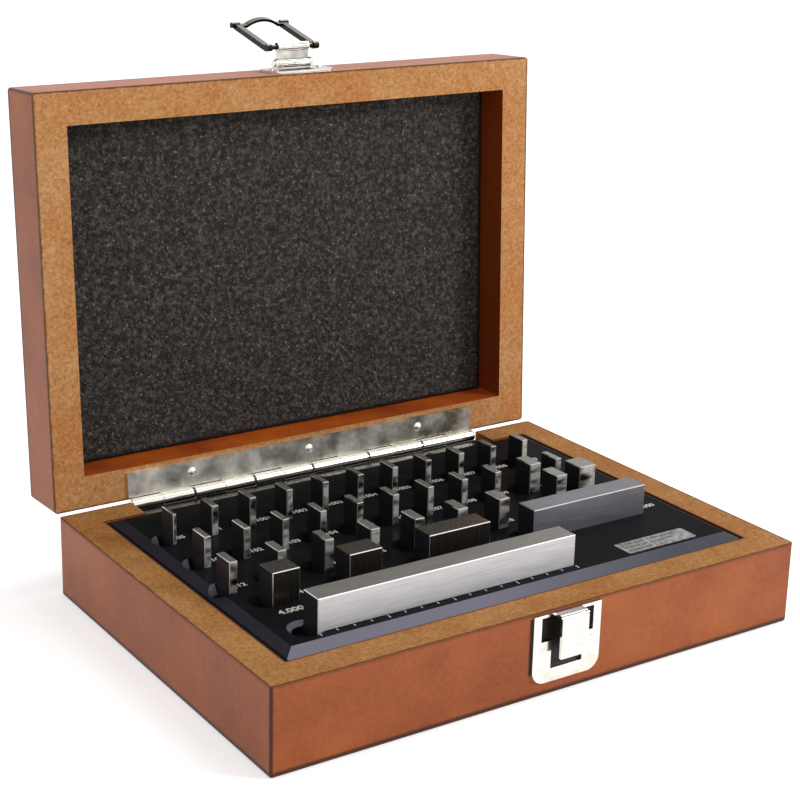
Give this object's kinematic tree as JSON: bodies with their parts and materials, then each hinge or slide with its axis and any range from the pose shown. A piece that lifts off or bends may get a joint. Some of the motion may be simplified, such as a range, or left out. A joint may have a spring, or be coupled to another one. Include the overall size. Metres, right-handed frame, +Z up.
{
  "type": "gauge block set",
  "caption": "Inch gauge blocks standing in a moulded tray inside a hinged wooden case, with a foam lined lid and a draw latch.",
  "frame": {"origin": "centre of the underside of the base", "axes": "+X to the right along the front of the case, +Y from the latch side to the hinge side, +Z up"},
  "size_m": [0.2128, 0.2064, 0.1984],
  "materials": {
    "stained_wood": "reddish brown stain under satin lacquer, bare tan rims",
    "tray_plastic": "black moulded plastic",
    "foam": "charcoal open cell foam sheet",
    "gauge_steel": "lapped and ground hardened steel",
    "hinge_steel": "plated steel",
    "nickel_plate": "bright nickel plate"
  },
  "bodies": {
    "base": {"base_front_rail": "stained_wood", "base_left_rail": "stained_wood", "base_panel": "stained_wood", "base_rear_rail": "stained_wood", "base_right_rail": "stained_wood", "block_tray": "tray_plastic", "gauge_block_0_0500": "gauge_steel", "gauge_block_0_1000": "gauge_steel", "gauge_block_0_1001": "gauge_steel", "gauge_block_0_1002": "gauge_steel", "gauge_block_0_1003": "gauge_steel", "gauge_block_0_1004": "gauge_steel", "gauge_block_0_1005": "gauge_steel", "gauge_block_0_1006": "gauge_steel", "gauge_block_0_1007": "gauge_steel", "gauge_block_0_1008": "gauge_steel", "gauge_block_0_1009": "gauge_steel", "gauge_block_0_1010": "gauge_steel", "gauge_block_0_1020": "gauge_steel", "gauge_block_0_1030": "gauge_steel", "gauge_block_0_1040": "gauge_steel", "gauge_block_0_1050": "gauge_steel", "gauge_block_0_1060": "gauge_steel", "gauge_block_0_1070": "gauge_steel", "gauge_block_0_1080": "gauge_steel", "gauge_block_0_1090": "gauge_steel", "gauge_block_0_1100": "gauge_steel", "gauge_block_0_1200": "gauge_steel", "gauge_block_0_1300": "gauge_steel", "gauge_block_0_1400": "gauge_steel", "gauge_block_0_1500": "gauge_steel", "gauge_block_0_1600": "gauge_steel", "gauge_block_0_1700": "gauge_steel", "gauge_block_0_1800": "gauge_steel", "gauge_block_0_1900": "gauge_steel", "gauge_block_0_2000": "gauge_steel", "gauge_block_0_3000": "gauge_steel", "gauge_block_0_4000": "gauge_steel", "gauge_block_0_5000": "gauge_steel", "gauge_block_1_0000": "gauge_steel", "gauge_block_2_0000": "gauge_steel", "gauge_block_4_0000": "gauge_steel", "hinge_base_leaf": "hinge_steel", "hinge_base_screws": "hinge_steel", "hinge_pin": "hinge_steel", "keeper_nails": "nickel_plate", "keeper_plate": "nickel_plate"},
    "lid": {"hinge_lid_leaf": "hinge_steel", "hinge_lid_screws": "hinge_steel", "latch_lever_pin": "nickel_plate", "latch_plate": "nickel_plate", "latch_plate_nails": "nickel_plate", "lid_foam": "foam", "lid_front_rail": "stained_wood", "lid_left_rail": "stained_wood", "lid_panel": "stained_wood", "lid_rear_rail": "stained_wood", "lid_right_rail": "stained_wood"},
    "latch_lever": {"latch_lever": "nickel_plate"},
    "latch_bail": {"latch_bail": "nickel_plate"}
  },
  "joints": [
    {"name": "lid_hinge", "type": "hinge", "parent": "base", "child": "lid", "pos_m": [0, 0.0776, 0.02825], "axis": [1, 0, 0], "range_deg": [0, 92.6]},
    {"name": "lever_pivot", "type": "hinge", "parent": "lid", "child": "latch_lever", "pos_m": [0.004, 0.09943, 0.18392], "axis": [1, 0, 0], "range_deg": [0, 80]},
    {"name": "bail_pivot", "type": "hinge", "parent": "latch_lever", "child": "latch_bail", "pos_m": [0.004, 0.09971, 0.18991], "axis": [1, 0, 0], "range_deg": [0, 84]}
  ]
}
